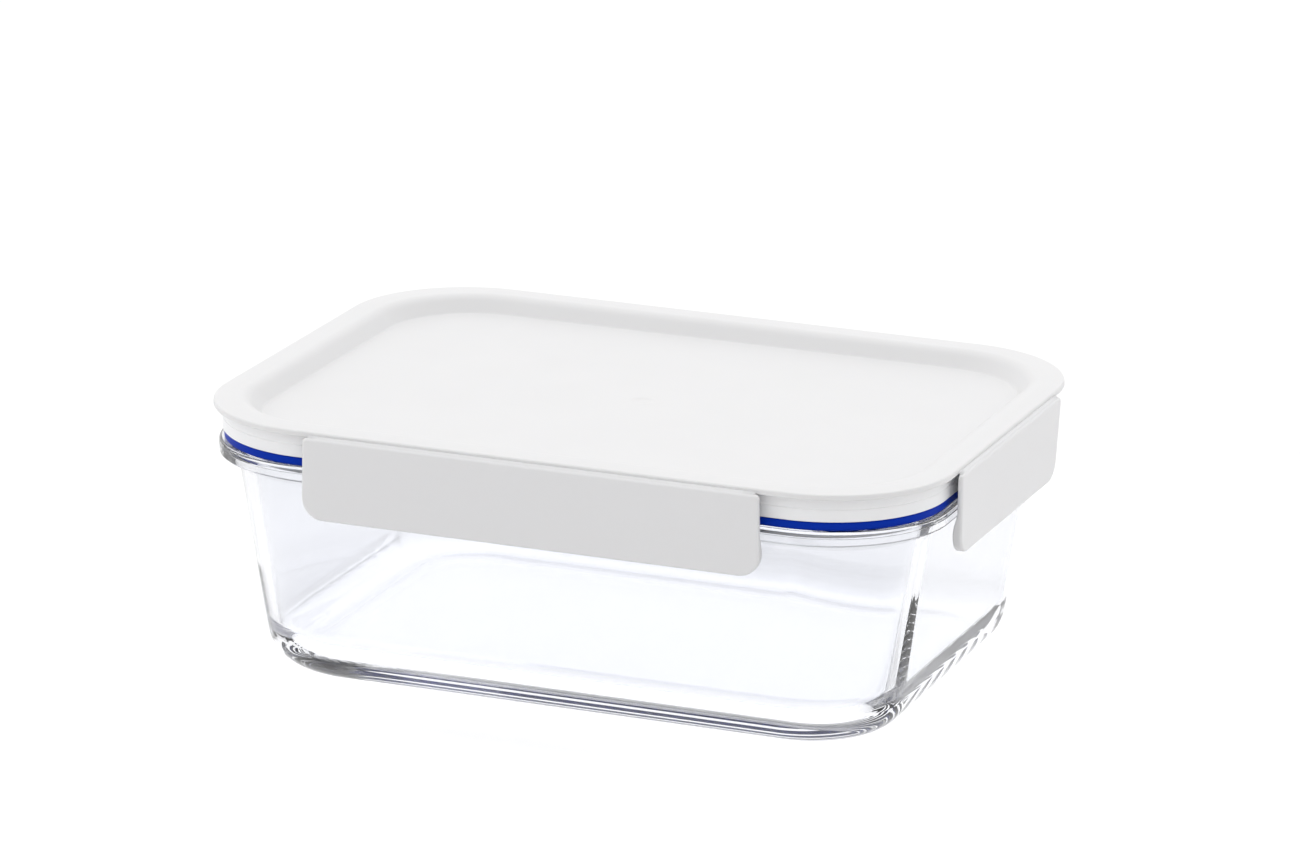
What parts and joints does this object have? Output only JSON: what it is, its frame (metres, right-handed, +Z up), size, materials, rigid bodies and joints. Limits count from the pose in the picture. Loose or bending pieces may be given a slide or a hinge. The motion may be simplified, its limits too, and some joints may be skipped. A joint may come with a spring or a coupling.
{
  "type": "glass food storage container",
  "caption": "Rounded rectangular glass container with a clip-on plastic lid, hinged locking flaps and a silicone seal.",
  "frame": {"origin": "middle of the tub's foot, on the surface it stands on", "axes": "+X along the long side, -Y towards the front long flap, +Z up out of the tub's mouth"},
  "size_m": [0.2134, 0.1608, 0.0757],
  "materials": {
    "glass": "clear, polished, faint cool tint",
    "lid_plastic": "satin off-white polypropylene",
    "silicone": "smooth translucent-edged silicone"
  },
  "bodies": {
    "tub": {"glass_tub": "glass"},
    "lid": {"lid_panel": "lid_plastic", "gasket": "silicone", "front_hinge_film": "lid_plastic", "right_hinge_film": "lid_plastic", "back_hinge_film": "lid_plastic", "left_hinge_film": "lid_plastic"},
    "front_flap": {"front_flap": "lid_plastic"},
    "right_flap": {"right_flap": "lid_plastic"},
    "back_flap": {"back_flap": "lid_plastic"},
    "left_flap": {"left_flap": "lid_plastic"}
  },
  "joints": [
    {"name": "lid_lift", "type": "slide", "parent": "tub", "child": "lid", "axis": [0, 0, 1], "range_m": [0, 0.09]},
    {"name": "front_flap_hinge", "type": "hinge", "parent": "lid", "child": "front_flap", "pos_m": [0, -0.07955, 0.0734], "axis": [-1, 0, 0], "range_deg": [0, 120], "deforming": ["front_hinge_film"]},
    {"name": "right_flap_hinge", "type": "hinge", "parent": "lid", "child": "right_flap", "pos_m": [0.1058, 0, 0.0734], "axis": [0, -1, 0], "range_deg": [0, 120], "deforming": ["right_hinge_film"]},
    {"name": "back_flap_hinge", "type": "hinge", "parent": "lid", "child": "back_flap", "pos_m": [0, 0.07955, 0.0734], "axis": [1, 0, 0], "range_deg": [0, 120], "deforming": ["back_hinge_film"]},
    {"name": "left_flap_hinge", "type": "hinge", "parent": "lid", "child": "left_flap", "pos_m": [-0.1058, 0, 0.0734], "axis": [0, 1, 0], "range_deg": [0, 120], "deforming": ["left_hinge_film"]}
  ]
}
